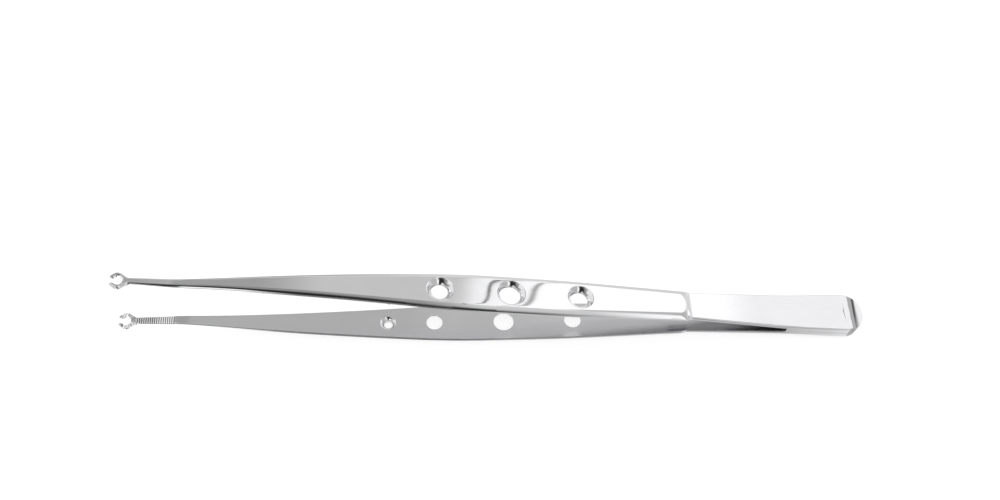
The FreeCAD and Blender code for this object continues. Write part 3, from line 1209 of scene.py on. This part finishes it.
    def dress(self, mesh: bpy.types.Mesh) -> None:
        """Gives every face of the arm its finish.

        Args:
            mesh: The arm's mesh, still upper side up in its own frame.
        """
        mesh.materials.clear()
        for finish in ARM_FINISHES:
            mesh.materials.append(bpy.data.materials.get(finish.name) or finish.material())
        for face in mesh.polygons:
            face.material_index = ARM_FINISHES.index(self.finish_of(face))

    def finish_of(self, face: bpy.types.MeshPolygon) -> SteelFinish:
        """The finish of one face, by where it lies and which way it looks.

        Args:
            face: A face of the arm, still upper side up in its own frame.

        Returns:
            One of the arm's finishes.
        """
        x = face.center.x
        height = face.center.z - self.shape.inner.at(x)
        inside = face.normal.z < -0.5 and height < 0.3 and x < self.shape.weld_front
        if self.in_hole(face) or (inside and x < self.shape.neck_start):
            return BRIGHT
        if inside and x < self.shape.teeth_end + 0.1:
            # Painted shade: tooth flanks that face the tips get the dark copy of the cut finish.
            return SHADED_TEETH if face.normal.x < -0.3 else CUT
        return SATIN if inside else POLISHED

    def in_hole(self, face: bpy.types.MeshPolygon) -> bool:
        """Finds the faces of the holes, their sinks and their rims.

        Args:
            face: A face of the arm, still upper side up in its own frame.

        Returns:
            Whether the face belongs to a hole.
        """
        outer, inner = self.shape.outer, self.shape.inner
        sizes = zip(self.hole_places, self.hole_sinks)
        holes = [(x, outer.at(x), outer.angle(x), sink) for x, sink in sizes]
        if self.side is Side.LOWER:
            squeeze = math.radians(self.shape.squeeze_angle)
            holes.append((self.guide_x, inner.at(self.guide_x), squeeze, self.guide_sink))
        for x, z, lean, sink in holes:
            turn = Matrix.Rotation(-lean, 3, "Y")
            local = turn @ (face.center - Vector((x, 0.0, z)))
            near = math.hypot(local.x, local.y) < sink / 2.0 + self.rim_reach
            if near and abs((turn @ face.normal).z) < self.level_look:
                return True
        return False

    @staticmethod
    def crisp_rims(mesh: bpy.types.Mesh) -> None:
        """Marks the edges sharp where one finish meets another.

        Args:
            mesh: The arm's mesh, with its finishes given.
        """
        finishes = {}
        for face in mesh.polygons:
            for key in face.edge_keys:
                finishes.setdefault(key, set()).add(face.material_index)
        for edge in mesh.edges:
            if len(finishes[edge.key]) > 1:
                edge.use_edge_sharp = True


@dataclass
class WeldBead:
    """Bead that joins the two heels, ground flush along both sides and round the end."""

    shape: ArmShape
    hollow: float = 0.02

    def build(self) -> bpy.types.Object:
        """The bead as one closed band.

        Returns:
            The bead, riding on the heel.
        """
        bm = bmesh.new()
        high, deep = self.shape.bead_height / 2.0, self.shape.bead_depth
        outline = [(0.0, -high), (self.hollow, 0.0), (0.0, high), (deep, high), (deep, -high)]
        order = bm.verts.layers.int.new("order")
        loop = [bm.verts.new((0.0, depth, height)) for depth, height in outline]
        edges = [bm.edges.new(pair) for pair in zip(loop, loop[1:] + loop[:1])]
        for index, vert in enumerate(loop):
            vert[order] = index
        self.lay(loop, order, outline, self.shape.weld_front + 0.02)
        bm.faces.new(loop)
        for x in self.shape.heel_stations():
            loop, edges = draw_ring(bm, edges)
            self.lay(loop, order, outline, x)
        turn_round(bm, loop + edges, self.shape.arc_centre, -self.shape.arc_sweep / 2.0, 20)
        whole = list(bm.verts) + list(bm.edges) + list(bm.faces)
        other = pick(bmesh.ops.duplicate(bm, geom=whole)["geom"], BMVert)
        bmesh.ops.transform(bm, matrix=Matrix.Scale(-1.0, 4, (0, 1, 0)), verts=other)
        close_up(bm)
        bm.verts.layers.int.remove(bm.verts.layers.int["order"])
        bmesh.ops.transform(bm, matrix=BENCH.matrix(), verts=bm.verts)
        bead = new_object("weld_bead", bm)
        finish_small(bead, GROUND, SHARP_TURN)
        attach(bead, Body.HEEL.value)
        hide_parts("heel_weld")
        return bead

    def lay(self, loop: list, order: object, outline: list, x: float) -> None:
        """Moves a ring of points onto the bead's section at x.

        Args:
            loop: The ring's points.
            order: Layer that holds each point's number round the ring.
            outline: The section, as (depth, height) by that number.
            x: Place along the instrument.
        """
        for vert in loop:
            depth, height = outline[vert[order]]
            y = self.shape.half_width(x) - depth
            vert.co = (self.shape.along(x, y), y, height)


@dataclass
class GuidePin:
    """Small pin pressed into the upper arm's inner face."""

    arm: Arm
    diameter: float = 1.5
    tip_diameter: float = 0.7
    tip_length: float = 0.9
    seat_depth: float = 1.0
    reach: float = 6.05
    sharp_turn: float = 40.0
    shoulder_edge: tuple[Pair, ...] = ((0.0, 0.12), (-0.015, 0.0), (-0.07, -0.12))
    tip_edge: tuple[Pair, ...] = ((0.06, 0.12), (-0.02, 0.03), (-0.12, 0.0))

    def build(self) -> bpy.types.Object:
        """The pin with its edges softened.

        Returns:
            The pin, riding on the upper arm's front.
        """
        box_low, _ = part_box("guide_pin")
        radius, tip = self.diameter / 2.0, self.tip_diameter / 2.0
        shoulder = self.tip_length - self.reach
        profile = [(0.0, self.seat_depth), (radius, self.seat_depth)]
        profile += [(radius + out, shoulder + up) for out, up in self.shoulder_edge]
        profile += [(tip + out, up - self.reach) for out, up in self.tip_edge]
        profile.append((0.0, -self.reach))
        bm = spun(profile, self.arm.inner_frame(self.arm.guide_x), segments=48)
        bmesh.ops.transform(bm, matrix=BENCH.matrix(), verts=bm.verts)
        pin = new_object("guide_pin_steel", bm)
        finish_small(pin, TURNED, math.radians(self.sharp_turn))
        foot = min(vert.co.z for vert in pin.data.vertices)
        LOG.info("pin foot %.5f, CAD foot %.5f", foot, box_low.z)
        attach(pin, Body.UPPER.value)
        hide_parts("guide_pin")
        return pin


# The studio


class Axis(IntEnum):
    """Axes of a heading, or of a place on the table."""

    RIGHT = 0
    BACK = 1
    UP = 2


RIGHT, BACK, UP = Axis


@dataclass(frozen=True)
class Panel:
    """Part of the studio by heading, or of the table by place.

    Each edge is an axis, where along it the panel starts and where it reaches full strength.
    """

    strength: float
    edges: tuple[Edge, ...] = ()

    def light(self, spot: Spot) -> Value | float:
        """What the panel adds.

        Args:
            spot: The heading or place, one value for each axis.

        Returns:
            Its strength inside the edges, falling to 0 outside them.
        """
        glow = self.strength
        for axis, start, full in self.edges:
            glow = spot[axis].eased(start, full) * glow
        return glow


@dataclass(frozen=True)
class DarkLine:
    """Thin dark line between the ceiling's panels, which the polished grip draws into curves."""

    place: float
    lean: float
    reach: float
    depth: float = 0.88

    def shade(self, spot: Spot) -> Value:
        """How much of the ceiling's light is left at a heading."""
        off = spot[RIGHT] - self.place - (spot[BACK] - 0.50) * self.lean
        return 1.0 - abs(off).eased(self.reach, 0.0) * self.depth


@dataclass(frozen=True)
class Sky:
    """Studio all round the table: a ceiling, the walls, and what hangs near the lens."""

    ceiling_back: tuple[Panel, ...] = (
        Panel(0.45),
        Panel(0.27, ((RIGHT, -0.04, 0.09),)),
        Panel(0.50, ((RIGHT, 0.235, 0.295),)),
        Panel(0.15, ((RIGHT, 0.31, 0.345),)),
        Panel(-0.72, ((RIGHT, 0.497, 0.522), (RIGHT, 0.60, 0.568), (BACK, 0.1, 0.3))),
        Panel(0.55, ((RIGHT, -0.36, -0.50),)),
    )
    ceiling_lines: tuple[DarkLine, ...] = (
        DarkLine(0.300, 0.06, 0.006),
        DarkLine(0.337, 0.0, 0.0034),
        DarkLine(0.556, 0.0, 0.014),
    )
    ceiling_front: tuple[Panel, ...] = (
        Panel(0.03),
        Panel(0.36, ((BACK, -0.83, -0.67),)),
        Panel(0.38, ((RIGHT, 0.14, 0.28), (BACK, -0.83, -0.67))),
        Panel(0.58, ((RIGHT, 0.39, 0.46),)),
    )
    ceiling_join: Pair = (-0.60, -0.42)
    wall_back: tuple[Panel, ...] = (
        Panel(1.12),
        Panel(-0.98, ((RIGHT, -0.10, -0.18),)),
        Panel(-0.22, ((RIGHT, 0.20, 0.34),)),
        Panel(0.80, ((RIGHT, -0.42, -0.58),)),
    )
    wall_front: tuple[Panel, ...] = (
        Panel(0.03),
        Panel(1.15, ((RIGHT, 0.24, 0.36),)),
        Panel(1.27, ((RIGHT, -0.115, -0.155), (UP, 0.46, 0.30))),
        Panel(-0.60, ((RIGHT, 0.46, 0.60),)),
        Panel(-0.60, ((RIGHT, -0.46, -0.60), (UP, 0.46, 0.30))),
    )
    wall_join: Pair = (-0.35, 0.10)
    wall_top: Pair = (0.52, 0.40)
    dark_lens: Panel = Panel(
        0.92,
        ((RIGHT, -0.19, -0.14), (RIGHT, 0.08, -0.02), (BACK, -0.60, -0.54), (BACK, -0.36, -0.43)),
    )
    ceiling_gap: Panel = Panel(
        0.55, ((BACK, 0.30, 0.10), (BACK, -0.58, -0.48), (RIGHT, 0.37, 0.41))
    )
    ceiling_lamp: Panel = Panel(
        1.2,
        ((RIGHT, -0.14, -0.19), (RIGHT, -0.42, -0.30), (BACK, -0.62, -0.52), (BACK, 0.35, 0.20)),
    )

    def build(self) -> None:
        """Makes the world; the lens itself sees plain white."""
        world = bpy.data.worlds.new("studio")
        bpy.context.scene.world = world
        world.use_nodes = True
        graph = Graph(world.node_tree)
        spot = graph.split(graph.node("ShaderNodeTexCoord", out="Generated"))
        light = self.ceiling(spot).towards(self.walls(spot), spot[UP].eased(*self.wall_top))
        seen = graph.ray("Camera")
        sockets = {"Color": (1.0, 1.0, 1.0, 1.0), "Strength": light * (1.0 - seen) + seen}
        back = graph.node("ShaderNodeBackground", None, sockets)
        graph.node("ShaderNodeOutputWorld", None, {"Surface": back})

    def ceiling(self, spot: Spot) -> Value:
        """Light from above: panels behind, a darker front, and the lens's own dark shape.

        Args:
            spot: The heading.

        Returns:
            Brightness by heading.
        """
        back = sum(panel.light(spot) for panel in self.ceiling_back)
        for line in self.ceiling_lines:
            back = back * line.shade(spot)
        front = sum(panel.light(spot) for panel in self.ceiling_front)
        high = front.towards(back, spot[BACK].eased(*self.ceiling_join))
        high = high * (1.0 - self.dark_lens.light(spot)) * (1.0 - self.ceiling_gap.light(spot))
        return high + self.ceiling_lamp.light(spot)

    def walls(self, spot: Spot) -> Value:
        """Light from near the level: dark before the table, white at both front corners.

        Args:
            spot: The heading.

        Returns:
            Brightness by heading.
        """
        front = sum(panel.light(spot) for panel in self.wall_front)
        back = sum(panel.light(spot) for panel in self.wall_back)
        return front.towards(back, spot[BACK].eased(*self.wall_join))


@dataclass(frozen=True)
class Table:
    """Plain pale table, white to the lens and glossy to the steel, that keeps the shadow."""

    reach: float = 6.0
    grey: float = 0.32
    mottle: float = 0.01
    mottle_scale: Triple = (900.0, 900.0, 900.0)
    lift: float = 0.82
    gloss: float = 0.93
    sheen: float = 0.95
    sheen_rough: float = 0.06
    # Painted shade: a strip of table just behind the instrument, dark to glossy rays only and
    # darkest towards the tips, which the steel's far edges reflect as dark lines.
    painted_shade_strip: Panel = Panel(0.62, ((BACK, 0.014, 0.022),))
    painted_shade_relief: Panel = Panel(0.36, ((BACK, 0.014, 0.022), (RIGHT, -0.045, 0.0)))
    gloss_loss: Panel = Panel(0.65, ((BACK, -0.004, 0.003),))

    def build(self) -> None:
        """Makes the table and its surface."""
        bm = bmesh.new()
        bmesh.ops.create_grid(bm, x_segments=1, y_segments=1, size=self.reach)
        table = new_object("table", bm)
        material = bpy.data.materials.new("table_white")
        material.use_nodes = True
        graph = Graph(material.node_tree)
        soft = graph.noise(self.mottle_scale, 3.0)
        colour = graph.grey(soft, self.grey - self.mottle, self.grey + self.mottle)
        matt = graph.node("ShaderNodeBsdfDiffuse", None, {"Color": colour})
        glossy = graph.ray("Glossy")
        spot = graph.split(graph.place())
        # Painted shade on the table: the strip is taken off the table's white and its sheen for
        # glossy rays only.
        dim = self.painted_shade_strip.light(spot) - self.painted_shade_relief.light(spot)
        seen = graph.ray("Camera").most(glossy * (1.0 - dim)).most(graph.ray("Transmission"))
        lift = graph.node("ShaderNodeEmission", None, {"Strength": seen * self.lift})
        white = graph.node("ShaderNodeAddShader", None, {0: matt, 1: lift})
        sheen = {"Color": graph.grey(dim, self.sheen, 0.0), "Roughness": self.sheen_rough}
        mirror = graph.node("ShaderNodeBsdfAnisotropic", None, sheen)
        share = glossy * (self.gloss - self.gloss_loss.light(spot))
        table_top = graph.node("ShaderNodeMixShader", None, {0: share, 1: white, 2: mirror})
        graph.node("ShaderNodeOutputMaterial", None, {"Surface": table_top})
        table.data.materials.append(material)


@dataclass(frozen=True)
class Studio:
    """Table, sky, soft light and the photograph's camera."""

    focal_pixels: float = 1305.9
    sensor_width: float = 36.0
    camera_place: Triple = (-23.36588598, -157.658, 277.07931929)
    camera_turn: Triple = (33.03736157, -3.25518417, -2.8795012)
    box_place: Triple = (0.95, 0.35, 0.80)
    box_size: float = 0.8
    box_power: float = 1.6

    def build(self) -> None:
        """Sets the table, the light and the camera."""
        Table().build()
        Sky().build()
        self.softbox()
        self.camera()
        bpy.context.scene.view_settings.view_transform = "Standard"

    def softbox(self) -> None:
        """A square lamp that looks at the instrument."""
        lamp = bpy.data.lights.new("key_softbox", "AREA")
        lamp.shape = "SQUARE"
        lamp.size = self.box_size
        lamp.energy = self.box_power
        box = bpy.data.objects.new("key_softbox", lamp)
        box.location = self.box_place
        box.rotation_euler = (-Vector(self.box_place)).to_track_quat("-Z", "Y").to_euler()
        box.visible_glossy = False
        bpy.context.scene.collection.objects.link(box)

    def camera(self) -> None:
        """The camera where the photograph was taken from."""
        lens = bpy.data.cameras.new("camera")
        lens.sensor_width = self.sensor_width
        lens.lens = self.focal_pixels * lens.sensor_width / PICTURE_WIDTH
        lens.clip_start, lens.clip_end = 0.005, 30.0
        camera = bpy.data.objects.new("camera", lens)
        camera.location = Vector(self.camera_place) * METRES
        camera.rotation_euler = Euler([math.radians(a) for a in self.camera_turn], "XYZ")
        bpy.context.scene.collection.objects.link(camera)
        bpy.context.scene.camera = camera


def main() -> None:
    """Builds the instrument's pieces and the studio, and reports each piece."""
    logging.basicConfig(level=logging.INFO, format="%(name)s: %(message)s")
    shape = ArmShape()
    upper = Arm(Side.UPPER, shape)
    builders = [upper, Arm(Side.LOWER, shape), WeldBead(shape), GuidePin(upper)]
    for builder in builders:
        piece = builder.build()
        LOG.info("%s: %d faces", piece.name, len(piece.data.polygons))
    Studio().build()


if __name__ == "__main__":
    main()
